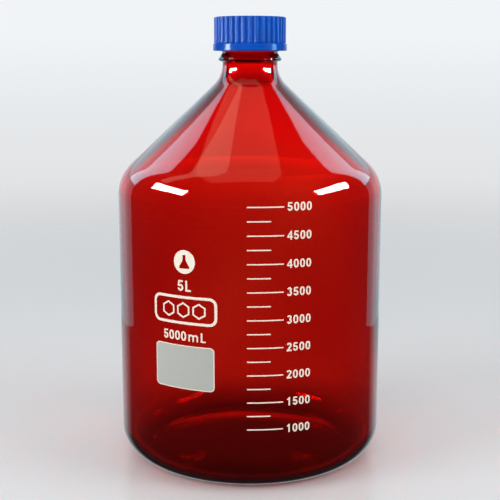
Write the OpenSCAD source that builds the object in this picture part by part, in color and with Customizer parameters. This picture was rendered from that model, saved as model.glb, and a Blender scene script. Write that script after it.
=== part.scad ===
// Five litre reagent bottle with a GL 45 screw cap, a pouring ring and a sealing disc.
// Z is up. The origin is on the table, at the middle of the foot.

/* [Glass body] */
// Outer diameter of the glass body
body_d = 190; // [186:1:194]
// Wall thickness of the body
wall = 2.9; // [2.4:0.1:3.4]
// Height at which the straight wall ends and the shoulder bend begins
straight_top = 191.7; // [188:0.1:192]
// Radius of the heel, where the wall turns into the foot
heel_r = 22; // [20:1:24]
// Radius of the bend between wall and shoulder
shoulder_r = 30; // [28:1:32]
// Angle of the shoulder cone from the vertical
cone_angle = 46.9; // [46.8:0.1:47]
// Height of the push-up in the middle of the foot
push_up = 4.5; // [3:0.5:6]

/* [Neck] */
// Outer diameter of the plain neck
neck_d = 39; // [38.6:0.2:39.6]
// Diameter of the bore in the neck
bore_d = 30; // [29:0.5:31]
// Height of the glass rim
rim_z = 311.6; // [311.4:0.1:311.8]
// Outer diameter of the collar under the thread
collar_d = 44.8; // [44:0.2:45.4]
// Outer diameter of the glass thread
thread_d = 44.8; // [44.4:0.1:45]
// Rise of the thread in one turn
pitch = 4; // [4:1:4]

/* [Cap] */
// Diameter of the plain band at the bottom of the cap
band_d = 52.4; // [52:0.2:54]
// Diameter over the grip ribs
grip_d = 50.8; // [50.6:0.1:51.4]
// Number of grip ribs
ribs = 36; // [30:1:40]
// Height of the cap
cap_h = 23.5; // [23.4:0.1:24]
// Height of the plain band
band_h = 5.1; // [4.5:0.1:6]

/* [Print] */
// Thickness of the fired enamel
ink = 0.12; // [0.1:0.01:0.2]
// Height of the scale's figures
figure_h = 5.7; // [5:0.1:6.2]
// Height of the 1000 mL line above the table
scale_z0 = 45.7; // [44:0.1:48]
// Distance between two lines that are 250 mL apart
scale_step = 9.29; // [9.2:0.01:9.4]
// Thickness of the scale's lines
line_t = 0.8; // [0.6:0.05:1.2]

/* [Hidden] */
$fn = 96;
R = body_d / 2;
Ri = R - wall;
NR = neck_d / 2;
BR = bore_d / 2;
CR = collar_d / 2;
cap_z = 316.5 - cap_h;
cap_top = 316.5;
cap_in_z = 314.6;
cap_in_r = 23;
root_r = 20;
thread_z0 = 295.6;
// corner where the cone would meet the wall, and the ends of the bend
tl = shoulder_r * tan(cone_angle / 2);
corner_z = straight_top + tl;
neck_blend = 20;
neck_corner_z = corner_z + (R - NR) / tan(cone_angle);
neck_z = neck_corner_z + neck_blend * tan(cone_angle / 2);
glass_red = [0.55, 0.02, 0.03, 0.6];
enamel = [0.9, 0.86, 0.8];

function arc(c, r, a0, a1, n) = [for (i = [0:n]) let (a = a0 + (a1 - a0) * i / n) c + r * [cos(a), sin(a)]];
function oval(w, h, e, n) = [for (i = [0:n - 1]) let (a = 360 * i / n, c = cos(a), s = sin(a))
    [w / 2 * sign(c) * pow(abs(c), e), h / 2 * sign(s) * pow(abs(s), e)]];
function unit(v) = v / max(norm(v), 1e-9);
function left(v) = [-v[1], v[0]];
// offset of a polyline's points to one side, mitred at the bends
function side(p, t) = [for (i = [0:len(p) - 1])
    let (a = i > 0 ? unit(p[i] - p[i - 1]) : unit(p[1] - p[0]),
         b = i < len(p) - 1 ? unit(p[i + 1] - p[i]) : a,
         m = unit(left(a) + left(b)))
    p[i] + m * t / max(m * left(a), 0.5)];
function back(p) = [for (i = [len(p) - 1:-1:0]) p[i]];
module stroke(p, t) { polygon(concat(side(p, t / 2), back(side(p, -t / 2)))); }

// ---- glass ----
outer = concat(
    [[0, push_up], [R - heel_r - 9, 0.6], [R - heel_r - 6, 0]],
    arc([R - heel_r, heel_r], heel_r, -90, 0, 10),
    arc([R - shoulder_r, straight_top], shoulder_r, 0, cone_angle, 8),
    arc([NR + neck_blend, neck_z], neck_blend, 180 + cone_angle, 180, 6),
    [[NR, 285.4], [CR - 0.7, 285.9], [CR, 286.7], [CR, 287.5], [CR - 0.6, 288.4],
     [20.9, 289.9], [root_r, 291.6], [root_r, 305.6], [19.4, 306.2], [19.4, rim_z - 0.9], [18.6, rim_z]]);
inner = concat(
    [[BR + 0.9, rim_z], [BR, rim_z - 0.9], [BR, neck_z - 1]],
    back(arc([NR + neck_blend, neck_z], neck_blend + (NR - BR), 180 + cone_angle, 184, 5)),
    back(arc([R - shoulder_r, straight_top], shoulder_r - wall, 0, cone_angle, 8)),
    back(arc([R - heel_r, heel_r + 1.2], heel_r - wall, -90, 0, 8)),
    [[0, push_up + 4.8]]);

// a ridge along a helix, with faded ends, from radius r0 out or in to radius r1; w0 and w1 are its widths there
module ridge(r0, r1, w0, w1, z0, turns, a0) {
    n = round(turns * 40);
    m = 6;
    pts = [for (i = [0:n])
        let (a = a0 + turns * 360 * i / n, f = min(1, (i + 0.3) / 7, (n - i + 0.3) / 7), rr = r0 + (r1 - r0) * f,
             rm = r0 + (rr - r0) * 0.72, z = z0 + pitch * turns * i / n)
        for (q = [[r0, -w0 / 2], [rm, -(w0 * 0.28 + w1 * 0.3)], [rr, -w1 / 2], [rr, w1 / 2], [rm, w0 * 0.28 + w1 * 0.3], [r0, w0 / 2]])
            [q[0] * cos(a), q[0] * sin(a), z + q[1]]];
    o = r1 > r0;
    side_f = [for (i = [0:n - 1]) for (j = [0:m - 1])
        let (a = i * m + j, b = i * m + (j + 1) % m, c = (i + 1) * m + (j + 1) % m, d = (i + 1) * m + j)
        each (o ? [[a, b, c], [a, c, d]] : [[a, c, b], [a, d, c]])];
    e0 = [for (j = [0:m - 1]) j];
    e1 = [for (j = [0:m - 1]) n * m + m - 1 - j];
    polyhedron(points = pts, faces = concat(side_f, [o ? back(e0) : e0, o ? back(e1) : e1]), convexity = 6);
}

module bottle() {
    color(glass_red) union() {
        rotate_extrude() polygon(concat(outer, inner));
        ridge(root_r - 0.6, thread_d / 2, 3.0, 1.1, thread_z0, 1.75, 20);
    }
}

// ---- closure ----
module pouring_ring() {
    color([0.05, 0.3, 0.75]) rotate_extrude() polygon([
        [19.4, 307.2], [20.3, 307.2], [20.6, 307.6], [20.6, 311.4], [20.8, 312.3], [20.4, 312.7],
        [18.2, 312.5], [16.2, 312.5], [15.6, 312.0], [15.6, 311.6],
        [18.6, rim_z], [19.4, rim_z - 0.9]]);
}
module seal_facing() {
    color("white") translate([0, 0, 312.8]) cylinder(r = 21.9, h = 0.2);
}
module seal_disc() {
    color([0.75, 0.35, 0.25]) translate([0, 0, 313.0]) cylinder(r = 21.9, h = cap_in_z - 0.05 - 313.0);
}
module screw_cap() {
    br = band_d / 2;
    gr = grip_d / 2;
    color([0.05, 0.3, 0.8]) union() {
        rotate_extrude() polygon([[0, cap_in_z], [cap_in_r, cap_in_z], [cap_in_r, cap_z + 0.8], [cap_in_r + 0.6, cap_z],
            [br - 0.3, cap_z], [br, cap_z + 0.3], [br - 0.15, cap_z + band_h - 0.4], [br - 0.5, cap_z + band_h],
            [gr - 0.95, cap_z + band_h], [gr - 0.95, cap_top - 0.8], [gr - 1.3, cap_top - 0.2], [gr - 1.9, cap_top], [0, cap_top]]);
        for (i = [0:ribs - 1]) rotate([0, 0, 360 * i / ribs]) translate([gr - 1.15, 0, cap_z + band_h - 0.5])
            cylinder(r = 1.15, h = cap_top - 0.25 - (cap_z + band_h - 0.5), $fn = 24);
        ridge(cap_in_r + 0.5, 21.35, 1.9, 0.7, thread_z0 + pitch / 2, 1.5, 20);
    }
}

// ---- fired enamel ----
module skin() {
    difference() {
        translate([0, 0, 30]) cylinder(r = R + ink, h = 180, $fn = 128);
        translate([0, 0, 29]) cylinder(r = R, h = 182, $fn = 128);
    }
}
module at_phi(phi, z) { rotate([0, 0, phi]) translate([0, -(R - 12), z]) rotate([90, 0, 0]) linear_extrude(14) children(); }
module bar_at(phi0, phi1, z, t) {
    rotate([0, 0, phi0 - 90]) rotate_extrude(angle = phi1 - phi0) translate([R, z - t / 2]) square([ink, t]);
}
module scale_lines() {
    color(enamel) for (i = [0:16]) bar_at(-1.2, i % 2 == 0 ? 13.3 : 8.2, scale_z0 + scale_step * i, line_t);
}
// figures are drawn one unit high, centred on the origin
sw = 0.185;
module fig0() { polygon(points = concat(oval(0.62, 1, 0.86, 28), oval(0.62 - 2 * sw, 1 - 1.8 * sw, 0.86, 24)),
    paths = [[for (i = [0:27]) i], [for (i = [0:23]) 28 + i]]); }
module fig1() { polygon([[0.14, -0.5], [0.14, 0.5], [0.0, 0.5], [-0.08, 0.38], [-0.22, 0.31], [-0.22, 0.16], [-0.12, 0.19], [-0.04, 0.24], [-0.04, -0.5]]); }
module fig2() {
    stroke(concat([for (i = [0:9]) let (a = 172 - 215 * i / 9) [0.21 * cos(a), 0.225 + 0.19 * sin(a)]], [[-0.18, -0.42]]), sw);
    translate([-0.3, -0.5]) square([0.6, sw]);
}
module fig3() {
    stroke([for (i = [0:9]) let (a = 165 - 240 * i / 9) [0.185 * cos(a) - 0.01, 0.235 + 0.18 * sin(a)]], sw);
    stroke([for (i = [0:10]) let (a = 88 - 258 * i / 10) [0.21 * cos(a) - 0.01, -0.2 + 0.215 * sin(a)]], sw);
}
module fig4() {
    translate([0.05, -0.5]) square([sw, 1]);
    translate([-0.33, -0.28]) square([0.66, 0.15]);
    polygon([[0.09, 0.5], [0.09, 0.26], [-0.165, -0.14], [-0.33, -0.14]]);
}
module fig5() {
    translate([-0.22, 0.34]) square([0.47, 0.16]);
    polygon([[-0.22, 0.5], [-0.29, -0.03], [-0.13, -0.03], [-0.08, 0.36], [-0.08, 0.5]]);
    stroke([for (i = [0:10]) let (a = 128 - 298 * i / 10) [0.21 * cos(a) - 0.01, -0.165 + 0.235 * sin(a)]], sw);
}
module figL() { translate([-0.26, -0.5]) square([sw, 1]); translate([-0.26, -0.5]) square([0.55, 0.16]); }
module figm() {
    translate([-0.55, -0.5]) square([0.165, 0.74]);
    for (x = [-0.235, 0.235])
        stroke(concat([for (i = [0:7]) let (a = 170 - 170 * i / 7) [x + 0.235 * cos(a), 0.155 * sin(a)]], [[x + 0.235, -0.5]]), 0.165);
}
module fig(d) {
    if (d == 0) fig0();
    if (d == 1) fig1();
    if (d == 2) fig2();
    if (d == 3) fig3();
    if (d == 4) fig4();
    if (d == 5) fig5();
    if (d == 10) figm();
    if (d == 11) figL();
}
module line_of(digits, phi0, step, z, h) {
    for (i = [0:len(digits) - 1]) at_phi(phi0 + step * i, z) scale(h) fig(digits[i]);
}
module scale_figures() {
    color(enamel) intersection() {
        union() for (k = [0:8]) let (v = 1000 + 500 * k)
            line_of([floor(v / 1000), floor(v / 100) % 10, 0, 0], 15.7, 2.66, scale_z0 + 2 * scale_step * k + 0.1, figure_h);
        skin();
    }
}
module capacity_print() {
    color(enamel) intersection() {
        union() {
            line_of([5, 0, 0, 0], -36.1, 2.85, 107, 6.4);
            at_phi(-23.2, 107) scale(6.4) figm();
            at_phi(-18.9, 107) scale(6.4) figL();
        }
        skin();
    }
}
module litre_print() {
    color(enamel) intersection() {
        union() { at_phi(-28.7, 141) scale(7.3) fig5(); at_phi(-25.3, 141) scale(7.3) figL(); }
        skin();
    }
}
// round spot with a flask cut out of it
module emblem_disc() {
    color(enamel) intersection() {
        at_phi(-26.9, 157) difference() {
            circle(d = 15.8, $fn = 64);
            polygon([[-1.15, 4.6], [-1.15, 1.1], [-4.0, -3.5], [-3.5, -4.4], [3.5, -4.4], [4.0, -3.5], [1.15, 1.1], [1.15, 4.6]]);
        }
        skin();
    }
}
module round_rect(w, h, r) {
    polygon(concat(arc([w / 2 - r, h / 2 - r], r, 0, 90, 6), arc([r - w / 2, h / 2 - r], r, 90, 180, 6),
        arc([r - w / 2, r - h / 2], r, 180, 270, 6), arc([w / 2 - r, r - h / 2], r, 270, 360, 6)));
}
module hexagon_ring(r, t) { difference() { rotate(90) circle(r = r, $fn = 6); rotate(90) circle(r = r - t, $fn = 6); } }
module emblem_frame() {
    color(enamel) intersection() {
        at_phi(-27.6, 124.6) {
            difference() { round_rect(48, 19.2, 5.2); round_rect(44.4, 15.6, 3.6); }
            for (i = [-1:1]) translate([i * 11.6, 0]) hexagon_ring(5.4, 1.25);
        }
        skin();
    }
}
module writing_field() {
    color([0.72, 0.73, 0.68]) intersection() { at_phi(-27.9, 85.6) round_rect(43.7, 28.9, 2.4); skin(); }
}
module field_outline() {
    color(enamel) intersection() {
        at_phi(-27.9, 85.6) difference() { round_rect(44.9, 30.1, 3); round_rect(43.7, 28.9, 2.4); }
        skin();
    }
}

bottle();
pouring_ring();
screw_cap();
seal_disc();
seal_facing();
scale_lines();
scale_figures();
capacity_print();
litre_print();
emblem_disc();
emblem_frame();
writing_field();
field_outline();
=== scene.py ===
import bpy
import math
import numpy as np
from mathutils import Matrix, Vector


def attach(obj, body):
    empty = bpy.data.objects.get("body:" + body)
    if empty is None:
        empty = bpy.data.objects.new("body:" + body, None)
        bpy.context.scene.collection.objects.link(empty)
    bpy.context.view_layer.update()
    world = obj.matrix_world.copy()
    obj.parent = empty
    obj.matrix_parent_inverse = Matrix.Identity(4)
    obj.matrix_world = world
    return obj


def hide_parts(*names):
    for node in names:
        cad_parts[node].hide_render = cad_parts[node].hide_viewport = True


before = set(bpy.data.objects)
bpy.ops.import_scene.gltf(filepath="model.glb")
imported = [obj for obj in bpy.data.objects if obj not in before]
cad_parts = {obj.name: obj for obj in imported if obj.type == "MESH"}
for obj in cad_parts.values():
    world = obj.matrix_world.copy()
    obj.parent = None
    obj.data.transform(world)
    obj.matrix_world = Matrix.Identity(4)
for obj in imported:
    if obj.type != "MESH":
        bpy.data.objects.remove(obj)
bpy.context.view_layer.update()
MM = 0.001


# ---------------------------------------------------------------- camera
cam_data = bpy.data.cameras.new("camera")
cam_data.sensor_width = 36.0
cam_data.lens = 75.1
cam_data.clip_start = 0.01
cam_data.clip_end = 60.0
camera = bpy.data.objects.new("camera", cam_data)
camera.location = (0.0, -0.753, 0.287)
camera.rotation_euler = (math.radians(90 - 10.35), 0.0, 0.0)
bpy.context.scene.collection.objects.link(camera)
bpy.context.scene.camera = camera
bpy.context.scene.view_settings.view_transform = "Standard"
bpy.context.scene.view_settings.look = "None"


# ---------------------------------------------------------------- node helpers
def new_material(name):
    m = bpy.data.materials.new(name)
    m.use_nodes = True
    t = m.node_tree
    t.nodes.clear()
    out = t.nodes.new("ShaderNodeOutputMaterial")
    b = t.nodes.new("ShaderNodeBsdfPrincipled")
    t.links.new(b.outputs["BSDF"], out.inputs["Surface"])
    return m, t, b, out


def noise(t, scale, detail=3.0, rough=0.55, stretch=None, distortion=0.0):
    co = t.nodes.new("ShaderNodeTexCoord")
    n = t.nodes.new("ShaderNodeTexNoise")
    n.inputs["Scale"].default_value = scale
    n.inputs["Detail"].default_value = detail
    n.inputs["Roughness"].default_value = rough
    n.inputs["Distortion"].default_value = distortion
    if stretch:
        mp = t.nodes.new("ShaderNodeMapping")
        mp.inputs["Scale"].default_value = stretch
        t.links.new(co.outputs["Object"], mp.inputs["Vector"])
        t.links.new(mp.outputs["Vector"], n.inputs["Vector"])
    else:
        t.links.new(co.outputs["Object"], n.inputs["Vector"])
    return n.outputs["Fac"]


def remap(t, src, lo, hi, a=0.3, b=0.7):
    r = t.nodes.new("ShaderNodeMapRange")
    r.inputs["From Min"].default_value = a
    r.inputs["From Max"].default_value = b
    r.inputs["To Min"].default_value = lo
    r.inputs["To Max"].default_value = hi
    t.links.new(src, r.inputs["Value"])
    return r.outputs["Result"]


def ramp(t, src, stops):
    r = t.nodes.new("ShaderNodeValToRGB")
    e = r.color_ramp.elements
    e[0].position, e[0].color = stops[0][0], (*stops[0][1], 1)
    e[1].position, e[1].color = stops[-1][0], (*stops[-1][1], 1)
    for p, c in stops[1:-1]:
        k = e.new(p)
        k.color = (*c, 1)
    t.links.new(src, r.inputs["Fac"])
    return r.outputs["Color"]


def bump(t, b, src, strength, distance, before=None):
    n = t.nodes.new("ShaderNodeBump")
    n.inputs["Strength"].default_value = strength
    n.inputs["Distance"].default_value = distance
    t.links.new(src, n.inputs["Height"])
    if before is not None:
        t.links.new(before, n.inputs["Normal"])
    t.links.new(n.outputs["Normal"], b.inputs["Normal"])
    return n.outputs["Normal"]


# ---------------------------------------------------------------- materials
def glass_material():
    m, t, b, out = new_material("amber_stained_glass")
    b.inputs["Base Color"].default_value = (1.0, 0.93, 0.9, 1)
    b.inputs["Transmission Weight"].default_value = 1.0
    b.inputs["IOR"].default_value = 1.472
    b.inputs["Roughness"].default_value = 0.0
    b.inputs["Specular Tint"].default_value = (0.55, 0.55, 0.6, 1)
    # blown glass: long shallow waves, so highlights have slightly uneven edges
    h = noise(t, 14.0, 2.0, 0.4, (1.0, 1.0, 0.35), 0.3)
    bump(t, b, h, 0.2, 0.0005)
    vol = t.nodes.new("ShaderNodeVolumeAbsorption")
    vol.inputs["Color"].default_value = (0.900, 0.24, 0.06, 1)
    vol.inputs["Density"].default_value = 1100.0
    t.links.new(vol.outputs["Volume"], out.inputs["Volume"])
    return m


def plastic_material(name, dark, mid, lit, rough, grain):
    m, t, b, out = new_material(name)
    col = ramp(t, noise(t, 38.0, 3.0, 0.6), [(0.25, dark), (0.5, mid), (0.8, lit)])
    t.links.new(col, b.inputs["Base Color"])
    t.links.new(remap(t, noise(t, 160.0, 4.0), rough - 0.05, rough + 0.06), b.inputs["Roughness"])
    n1 = bump(t, b, noise(t, grain, 2.0, 0.6), 0.12, 0.00012)
    bump(t, b, noise(t, 90.0, 2.0, 0.5), 0.10, 0.0004, n1)
    b.inputs["IOR"].default_value = 1.5
    return m


def enamel_material(name, dark, lit, rough, strength):
    m, t, b, out = new_material(name)
    col = ramp(t, noise(t, 1500.0, 3.0, 0.6), [(0.25, dark), (0.75, lit)])
    t.links.new(col, b.inputs["Base Color"])
    t.links.new(remap(t, noise(t, 500.0, 3.0), rough - 0.08, rough + 0.1), b.inputs["Roughness"])
    bump(t, b, noise(t, 3200.0, 2.0, 0.6), strength, 0.00004)
    b.inputs["IOR"].default_value = 1.5
    return m


def rubber_material():
    m, t, b, out = new_material("silicone_disc")
    col = ramp(t, noise(t, 260.0, 3.0, 0.6), [(0.2, (0.40, 0.10, 0.055)), (0.8, (0.52, 0.15, 0.085))])
    t.links.new(col, b.inputs["Base Color"])
    t.links.new(remap(t, noise(t, 500.0, 3.0), 0.5, 0.68), b.inputs["Roughness"])
    bump(t, b, noise(t, 2600.0, 2.0, 0.6), 0.2, 0.00006)
    return m


def film_material():
    m, t, b, out = new_material("fluoropolymer_film")
    col = ramp(t, noise(t, 420.0, 3.0, 0.6), [(0.2, (0.78, 0.78, 0.76)), (0.8, (0.86, 0.86, 0.85))])
    t.links.new(col, b.inputs["Base Color"])
    t.links.new(remap(t, noise(t, 700.0, 3.0), 0.3, 0.45), b.inputs["Roughness"])
    bump(t, b, noise(t, 1500.0, 2.0, 0.6, (1.0, 6.0, 1.0)), 0.15, 0.00004)
    return m


GLASS = glass_material()
CAP_BLUE = plastic_material("moulded_blue_plastic", (0.0010, 0.056, 0.36), (0.0012, 0.067, 0.415), (0.0018, 0.082, 0.475), 0.13, 1400.0)
CAP_BLUE.node_tree.nodes["Principled BSDF"].inputs["Specular IOR Level"].default_value = 0.4
RING_BLUE = plastic_material("ring_blue_plastic", (0.008, 0.12, 0.55), (0.010, 0.14, 0.62), (0.014, 0.17, 0.70), 0.36, 1800.0)
ENAMEL = enamel_material("fired_enamel", (0.70, 0.61, 0.51), (0.80, 0.71, 0.60), 0.42, 0.25)
FIELD = enamel_material("matt_field_enamel", (0.315, 0.325, 0.30), (0.375, 0.385, 0.355), 0.75, 0.5)
SILICONE = rubber_material()
FILM = film_material()


# ---------------------------------------------------------------- lathe
def arc(c, r, a0, a1, n):
    return [(c[0] + r * math.cos(math.radians(a0 + (a1 - a0) * i / n)),
             c[1] + r * math.sin(math.radians(a0 + (a1 - a0) * i / n))) for i in range(n + 1)]


def line(p, q, n):
    return [(p[0] + (q[0] - p[0]) * i / n, p[1] + (q[1] - p[1]) * i / n) for i in range(n + 1)]


def joined(*runs):
    pts = []
    for run in runs:
        for p in run:
            if not pts or abs(p[0] - pts[-1][0]) + abs(p[1] - pts[-1][1]) > 1e-4:
                pts.append(p)
    return pts


def lathe(name, rows, cols, material, warp=None):
    """A closed surface of revolution. The first and last row are on the axis. rows are (r, z) in mm."""
    th = np.linspace(0, 2 * np.pi, cols, endpoint=False)
    verts = [(0.0, 0.0, rows[0][1] * MM)]
    mid = np.array(rows[1:-1])
    r = np.repeat(mid[:, 0][:, None], cols, 1)
    z = np.repeat(mid[:, 1][:, None], cols, 1)
    if warp:
        r, z = warp(r, z, np.repeat(th[None, :], len(mid), 0))
    co = np.stack([r * np.cos(th), r * np.sin(th), z], -1).reshape(-1, 3) * MM
    verts += [tuple(v) for v in co]
    verts.append((0.0, 0.0, rows[-1][1] * MM))
    faces = []
    n = len(mid)
    last = len(verts) - 1
    for j in range(cols):
        k = (j + 1) % cols
        faces.append((0, 1 + k, 1 + j))
        faces.append((last, 1 + (n - 1) * cols + j, 1 + (n - 1) * cols + k))
    for i in range(n - 1):
        a = 1 + i * cols
        for j in range(cols):
            k = (j + 1) % cols
            faces.append((a + j, a + k, a + cols + k, a + cols + j))
    me = bpy.data.meshes.new(name)
    me.from_pydata(verts, [], faces)
    me.polygons.foreach_set("use_smooth", [True] * len(faces))
    me.materials.append(material)
    me.update()
    o = bpy.data.objects.new(name, me)
    bpy.context.scene.collection.objects.link(o)
    return o


def helix_profile(dz, r0, rr, w0, w1):
    """Radius of a thread's flank at the height dz from its middle, smoothly rounded inside the CAD ridge."""
    x = np.clip((np.abs(dz) - 0.5 * w1) / (0.5 * (w0 - w1)), 0, 1)
    return r0 + (rr - r0) * (1 - x ** 1.6)


def thread(r, z, th, r0, r1, w0, w1, z0, turns, a0, base, outward):
    deg = np.degrees(th)
    n = round(turns * 40)
    out = r.copy()
    for lap in range(0, 3):
        a = deg + 360.0 * lap
        i = (a - a0) / (360.0 * turns) * n
        on = (i >= 0) & (i <= n)
        f = np.clip(np.minimum((i + 0.3) / 7, (n - i + 0.3) / 7), 0, 1)
        f = f * f * (3 - 2 * f)
        rr = r0 + (r1 - r0) * f
        zc = z0 + 4.0 * (a - a0) / 360.0
        rid = helix_profile(z - zc, r0, rr, w0, w1)
        hit = on & (np.abs(z - zc) < w0 / 2) & base
        out = np.where(hit, np.maximum(out, rid) if outward else np.minimum(out, rid), out)
    return out


# ---------------------------------------------------------------- the glass
R, WALL, NR, BR, CR = 94.98, 2.9, 19.5, 15.0, 22.4
TOP, HEEL, BEND, CONE = 191.7, 22.0, 30.0, 46.9
tl = BEND * math.tan(math.radians(CONE / 2))
corner_z = TOP + tl
neck_corner = corner_z + (95.0 - NR) / math.tan(math.radians(CONE))
neck_z = neck_corner + 20 * math.tan(math.radians(CONE / 2))
RIM = 311.6

outer = joined(
    [(0.0, 4.5)], [(64.0 * k / 14, 4.5 - 3.9 * (k / 14) ** 2.2) for k in range(1, 15)],
    [(65.2, 0.32), (66.2, 0.08), (67.0, 0.0), (69.0, 0.0), (71.0, 0.0)],
    arc((R - HEEL, HEEL), HEEL, -90, 0, 28), line((R, HEEL), (R, TOP), 22),
    arc((R - BEND, TOP), BEND, 0, CONE, 26),
    line(arc((R - BEND, TOP), BEND, CONE, CONE, 1)[0], arc((NR + 20, neck_z), 20, 180 + CONE, 180, 1)[0], 26),
    arc((NR + 20, neck_z), 20, 180 + CONE, 180, 20),
    [(NR, 284.7), (NR + 0.15, 285.3), (NR + 0.6, 285.7), (NR + 1.4, 285.9)],
    [(CR - 0.9, 286.0), (CR - 0.35, 286.25), (CR - 0.05, 286.75), (CR, 287.2), (CR - 0.1, 287.8), (CR - 0.5, 288.35), (CR - 1.0, 289.1)],
    [(20.95, 289.9), (20.4, 290.6), (20.1, 291.2), (20.0, 291.9)],
    line((20.0, 292.2), (20.0, 305.4), 50), [(19.9, 305.8), (19.6, 306.1), (19.4, 306.5)],
    line((19.4, 306.8), (19.4, RIM - 0.9), 6), [(19.32, RIM - 0.5), (19.1, RIM - 0.2), (18.75, RIM - 0.03), (18.4, RIM)])
inner = joined(
    [(17.2, RIM), (16.1, RIM), (15.6, RIM - 0.12), (15.2, RIM - 0.42), (BR, RIM - 0.95)],
    line((BR, RIM - 1.6), (BR, neck_z - 1), 14),
    arc((NR + 20, neck_z), 20 + NR - BR, 184, 180 + CONE, 20),
    line(arc((NR + 20, neck_z), 20 + NR - BR, 180 + CONE, 180 + CONE, 1)[0], arc((R - BEND, TOP), BEND - WALL, CONE, CONE, 1)[0], 26),
    arc((R - BEND, TOP), BEND - WALL, CONE, 0, 26), line((R - WALL, TOP), (R - WALL, HEEL + 1.2), 22),
    arc((R - HEEL, HEEL + 1.2), HEEL - WALL, 0, -90, 28),
    [((R - HEEL) * (1 - k / 14), 9.3 - 5.2 * (1 - k / 14) ** 2.0) for k in range(1, 14)], [(0.0, 9.3)])


def glass_warp(r, z, th):
    rows = len(outer) - 1
    k = np.arange(r.shape[0])[:, None]
    is_outer = (k < rows) & (z > 291.5) & (z < 306.0)
    r = thread(r, z, th, 19.4, 22.4, 3.0, 1.1, 295.6, 1.75, 20.0, np.broadcast_to(is_outer, r.shape), True)
    # the wall of blown glass is never quite even inside
    is_inner = (k >= rows) & (z > 24) & (z < 268)
    fade = np.clip((z - 24) / 30, 0, 1) * np.clip((268 - z) / 30, 0, 1)
    w = 0.14 * np.sin(3 * th + 0.021 * z + 0.7) + 0.10 * np.sin(5 * th - 0.034 * z + 2.1) + 0.10 * np.sin(0.045 * z + 2 * th) + 0.05 * np.sin(9 * th + 0.06 * z)
    r = np.where(is_inner, r + w * fade, r)
    return r, z


glass = lathe("glass_bottle", joined(outer, inner), 288, GLASS, glass_warp)
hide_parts("bottle")
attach(glass, "bottle")


# ---------------------------------------------------------------- the cap
CZ, CT, CIN, GR, BAND = 293.0, 316.5, 314.6, 25.4, 26.2
cap_rows = joined(
    [(0.0, CIN)], [(23.0 * k / 10, CIN) for k in range(1, 10)], [(22.6, CIN), (22.9, CIN - 0.12), (23.0, CIN - 0.4)],
    line((23.0, CIN - 0.8), (23.0, CZ + 0.9), 64), [(23.15, CZ + 0.45), (23.35, CZ + 0.15), (23.65, CZ)],
    line((24.0, CZ), (BAND - 0.55, CZ), 3), [(BAND - 0.2, CZ + 0.08), (BAND - 0.03, CZ + 0.3)],
    line((BAND, CZ + 0.6), (BAND - 0.12, CZ + 4.5), 5), [(BAND - 0.2, CZ + 4.82), (BAND - 0.42, CZ + 5.04), (BAND - 0.7, CZ + 5.1)],
    [(BAND - 1.2, CZ + 5.1), (GR - 0.75, CZ + 5.12), (GR - 0.93, CZ + 5.25)],
    line((GR - 0.95, CZ + 5.5), (GR - 0.95, CT - 0.9), 18),
    [(GR - 0.95, CT - 0.6), (GR - 0.97, CT - 0.42), (GR - 1.04, CT - 0.26), (GR - 1.16, CT - 0.13), (GR - 1.34, CT - 0.04), (GR - 1.6, CT), (GR - 2.3, CT)],
    [(21.9, CT), (21.6, CT - 0.08), (21.35, CT - 0.28), (21.05, CT - 0.4), (20.6, CT - 0.42)],
    [(20.6 * (1 - k / 12), CT - 0.42) for k in range(1, 11)],
    [(2.6, CT - 0.42), (2.35, CT - 0.5), (2.1, CT - 0.68), (1.7, CT - 0.72), (0.8, CT - 0.72), (0.0, CT - 0.72)])


def cap_warp(r, z, th):
    k = np.arange(r.shape[0])[:, None]
    inside = np.broadcast_to((k < 78) & (z < CIN - 1) & (z > CZ + 1), r.shape) & (r < 23.05)
    r = thread(r, z, th, 23.5, 21.35, 1.9, 0.7, 297.6, 1.5, 20.0, inside, False)
    # 36 grip ribs with round crests, which die away under the top edge
    s = (th / (2 * np.pi) * 36 + 0.5) % 1.0 - 0.5
    arc_len = np.abs(s) * 2 * np.pi * 24.9 / 36
    crest = np.clip(1 - (arc_len / 1.2) ** 2, 0, 1) ** 0.62
    groove = 0.45 * np.clip((arc_len - 1.2) / 0.9, 0, 1) ** 0.5
    up = np.clip((z - (CZ + 5.1)) / 0.25, 0, 1) * np.sqrt(np.clip((CT - 0.03 - z) / 0.55, 0, 1))
    outside = (r > GR - 2.0) & (z > CZ + 5.11) & (z < CT - 0.001)
    r = np.where(outside, r + (0.95 * crest - groove) * up, r)
    return r, z


cap = lathe("grip_cap", cap_rows, 576, CAP_BLUE, cap_warp)
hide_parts("screw_cap")
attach(cap, "cap")


# ---------------------------------------------------------------- carried-over CAD nodes
def dress(node, material):
    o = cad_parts[node]
    if not o.material_slots:
        o.data.materials.append(material)
    for s in o.material_slots:
        s.material = material


dress("pouring_ring", RING_BLUE)
dress("seal_disc", SILICONE)
dress("seal_facing", FILM)
for node in ("scale_lines", "scale_figures", "capacity_print", "litre_print", "emblem_disc", "emblem_frame", "field_outline"):
    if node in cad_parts:
        dress(node, ENAMEL)
dress("writing_field", FIELD)


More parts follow.
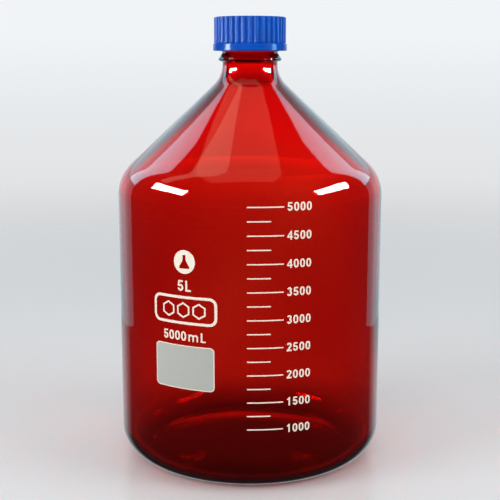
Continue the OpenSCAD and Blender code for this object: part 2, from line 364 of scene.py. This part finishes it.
# ---------------------------------------------------------------- stage
def floor_material():
    m, t, b, out = new_material("pale_floor")
    col = ramp(t, noise(t, 3.0, 3.0, 0.5), [(0.2, (0.66, 0.67, 0.675)), (0.8, (0.69, 0.70, 0.705))])
    co = t.nodes.new("ShaderNodeTexCoord")
    ln = t.nodes.new("ShaderNodeVectorMath")
    ln.operation = "LENGTH"
    t.links.new(co.outputs["Object"], ln.inputs[0])
    # painted shadow: seen through the glass, the floor near the foot of the bottle is painted dark, as a shadow on a
    # dark bench would look
    # painted shade mask: 1 under the bottle's foot, fading to 0 by 0.185 m from the axis
    foot_shade = remap(t, ln.outputs["Value"], 1.0, 0.0, 0.085, 0.185)
    lp = t.nodes.new("ShaderNodeLightPath")
    painted_shade_fac = t.nodes.new("ShaderNodeMath")
    painted_shade_fac.operation = "MULTIPLY"
    t.links.new(lp.outputs["Is Transmission Ray"], painted_shade_fac.inputs[0])
    t.links.new(foot_shade, painted_shade_fac.inputs[1])
    shade = t.nodes.new("ShaderNodeMix")
    shade.data_type = "RGBA"
    t.links.new(painted_shade_fac.outputs["Value"], shade.inputs["Factor"])
    t.links.new(col, shade.inputs["A"])
    # the colour of the painted shadow under the bottle
    shade.inputs["B"].default_value = (0.16, 0.155, 0.15, 1)
    t.links.new(shade.outputs["Result"], b.inputs["Base Color"])
    b.inputs["Roughness"].default_value = 0.22
    b.inputs["IOR"].default_value = 1.45
    # the floor fades into the pale surround well away from the bottle
    f = t.nodes.new("ShaderNodeMapRange")
    f.interpolation_type = "SMOOTHSTEP"
    f.inputs["From Min"].default_value = 0.35
    f.inputs["From Max"].default_value = 1.9
    t.links.new(ln.outputs["Value"], f.inputs["Value"])
    clear = t.nodes.new("ShaderNodeBsdfTransparent")
    mix = t.nodes.new("ShaderNodeMixShader")
    t.links.new(f.outputs["Result"], mix.inputs["Fac"])
    t.links.new(b.outputs["BSDF"], mix.inputs[1])
    t.links.new(clear.outputs["BSDF"], mix.inputs[2])
    t.links.new(mix.outputs["Shader"], out.inputs["Surface"])
    return m


seg = 128
ring = [(2.0 * math.cos(2 * math.pi * i / seg), 2.0 * math.sin(2 * math.pi * i / seg), -0.0004) for i in range(seg)]
fm = bpy.data.meshes.new("floor")
fm.from_pydata(ring, [], [tuple(range(seg))])
fm.materials.append(floor_material())
floor = bpy.data.objects.new("floor", fm)
bpy.context.scene.collection.objects.link(floor)
floor.visible_glossy = False


# ---------------------------------------------------------------- light
world = bpy.data.worlds.new("studio")
bpy.context.scene.world = world
world.use_nodes = True
wt = world.node_tree
wt.nodes.clear()
wo = wt.nodes.new("ShaderNodeOutputWorld")
co = wt.nodes.new("ShaderNodeTexCoord")
sep = wt.nodes.new("ShaderNodeSeparateXYZ")
wt.links.new(co.outputs["Generated"], sep.inputs["Vector"])
path = wt.nodes.new("ShaderNodeLightPath")


def background(color, strength=1.0):
    n = wt.nodes.new("ShaderNodeBackground")
    if isinstance(color, tuple):
        n.inputs["Color"].default_value = (*color, 1)
    else:
        wt.links.new(color, n.inputs["Color"])
    n.inputs["Strength"].default_value = strength
    return n.outputs["Background"]


def either(fac, a, b):
    n = wt.nodes.new("ShaderNodeMixShader")
    wt.links.new(fac, n.inputs["Fac"])
    wt.links.new(a, n.inputs[1])
    wt.links.new(b, n.inputs[2])
    return n.outputs["Shader"]


# what is seen directly: a pale surround, a little brighter towards the top
height = remap(wt, sep.outputs["Z"], 0.0, 1.0, -0.30, 0.02)
seen = background(ramp(wt, height, [(0.0, (0.73, 0.735, 0.74)), (0.5, (0.74, 0.75, 0.76)), (0.8, (0.80, 0.82, 0.84)), (1.0, (0.88, 0.90, 0.92))]), 1.0)
# what lies behind the glass: the same surround with a lit screen rising behind it
lift = remap(wt, sep.outputs["Z"], 0.0, 1.0, -0.30, 0.22)
behind = background(ramp(wt, lift, [(0.0, (0.35, 0.35, 0.355)), (0.31, (0.42, 0.42, 0.43)), (0.443, (0.56, 0.57, 0.58)), (0.53, (0.85, 0.87, 0.89)), (0.615, (1.0, 1.0, 1.0)),
                                    (0.71, (1.0, 1.0, 1.0)), (0.83, (0.42, 0.42, 0.43)), (1.0, (0.22, 0.22, 0.23))]), 2.1)
# what polished surfaces mirror: a dark room in front and to the sides, bright screens behind and above
mirror_dir = remap(wt, sep.outputs["Y"], 0.0, 1.0, 0.62, 0.80)
mirror = background(ramp(wt, mirror_dir, [(0.0, (0.05, 0.05, 0.055)), (1.0, (0.62, 0.66, 0.70))]), 1.0)
# what lights matt surfaces: an even soft dome
dome = background((0.60, 0.61, 0.62), 1.0)
surround = either(path.outputs["Is Glossy Ray"], dome, mirror)
surround = either(path.outputs["Is Transmission Ray"], surround, behind)
surround = either(path.outputs["Is Camera Ray"], surround, seen)
wt.links.new(surround, wo.inputs["Surface"])


def group(name, members):
    c = bpy.data.collections.new(name)
    for o in members:
        c.objects.link(o)
    return c


CAD_SHOWN = [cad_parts[n] for n in ("pouring_ring", "seal_disc", "seal_facing", "scale_lines", "scale_figures", "capacity_print",
                                         "litre_print", "emblem_disc", "emblem_frame", "field_outline", "writing_field")]
ON_GLASS = group("lit_with_the_glass", [glass] + CAD_SHOWN)
ON_CAP = group("lit_with_the_cap", [cap])


def area(name, at, target, w, h, radiance, diffuse=True, glossy=True, through=False, color=(1, 1, 1), on=None):
    """A soft box of the given radiance: its power is radiance x area x pi. With on, it lights only that group."""
    l = bpy.data.lights.new(name, "AREA")
    l.shape = "RECTANGLE"
    l.color = color
    l.size, l.size_y = w, h
    l.energy = radiance * w * h * math.pi
    o = bpy.data.objects.new(name, l)
    o.location = at
    o.rotation_euler = (Vector(target) - Vector(at)).to_track_quat("-Z", "Y").to_euler()
    o.visible_camera = False
    o.visible_transmission = through
    o.visible_diffuse = diffuse
    o.visible_glossy = glossy
    bpy.context.scene.collection.objects.link(o)
    if on is not None:
        o.light_linking.receiver_collection = on
    return o


def screen(name, a, b, z0, z1, radiance, color=(1, 1, 1)):
    """An upright screen from a to b on the floor plan, facing the bottle, seen only as a reflection."""
    cx, cy, cz = (a[0] + b[0]) / 2, (a[1] + b[1]) / 2, (z0 + z1) / 2
    w = math.hypot(b[0] - a[0], b[1] - a[1])
    nx, ny = (b[1] - a[1]) / w, -(b[0] - a[0]) / w
    if nx * -cx + ny * -cy < 0:
        nx, ny = -nx, -ny
    return area(name, (cx, cy, cz), (cx + nx, cy + ny, cz), w, z1 - z0, radiance, diffuse=False, color=color, on=ON_GLASS)


COOL, WARM = (0.26, 0.86, 1.0), (1.0, 0.70, 0.44)
for sgn, side in ((-1, "left"), (1, "right")):
    # side soft boxes whose images lie on the bend of the shoulder, the neck and the collar
    area("side_box_" + side, (sgn * 0.48, -0.145 if sgn < 0 else -0.125, 0.438), (sgn * 0.05, -0.06, 0.21), 0.34, 0.10, 90.0, diffuse=False, through=True, on=ON_GLASS)
    # screens behind, mirrored along the flanks
    a, m, b = (sgn * 0.423, 0.175), (sgn * 0.336, 0.279), (sgn * 0.13, 0.525)
    screen("screen_low_a_" + side, a, m, 0.0, 0.30, 0.6, COOL)
    screen("screen_low_b_" + side, m, b, 0.0, 0.30, 0.25, COOL)
    screen("screen_high_a_" + side, a, m, 0.30, 0.86, 4.5, COOL)
    screen("screen_high_b_" + side, m, b, 0.30, 0.86, 0.9, COOL)
# overhead: a wide one for the cone, and a brighter panel to the left of it
area("overhead", (-0.12, 0.0, 1.25), (-0.12, 0, 0), 0.86, 1.0, 1.15, diffuse=False, through=True, color=WARM, on=ON_GLASS)
area("overhead_left", (-0.683, 0.05, 1.248), (-0.02, 0, 0.2), 0.208, 1.0, 2.1, diffuse=False, color=(1.0, 0.74, 0.50), on=ON_GLASS)
# tall strips which draw the fine highlights along the cap's ribs and on its band
area("cap_strip_left", (-0.665, -0.217, 0.36), (0, 0, 0.305), 0.20, 0.6, 24.0, diffuse=False, color=(0.66, 0.80, 1.0), on=ON_CAP)
area("cap_strip_right", (0.69, -0.12, 0.36), (0, 0, 0.305), 0.20, 0.6, 9.0, diffuse=False, color=(0.35, 0.78, 1.0), on=ON_CAP)
area("cap_top", (0.0, 0.35, 1.0), (0, 0, 0.31), 0.5, 0.4, 0.8, diffuse=False, on=ON_CAP)
# broad soft light for the prints and the cap: more from the sides than from the front
area("fill_left", (-1.3, -0.75, 0.7), (0, 0, 0.2), 0.8, 1.0, 6.0, glossy=False)
area("fill_right", (1.3, -0.55, 0.7), (0, 0, 0.2), 0.8, 1.0, 4.5, glossy=False)
area("front_fill", (-0.3, -1.6, 1.0), (0, 0, 0.15), 1.2, 1.0, 1.6, glossy=False)
area("top_fill", (0.2, 0.9, 1.9), (0, 0.3, 0.0), 1.6, 1.6, 0.5, glossy=False)

bpy.context.view_layer.update()
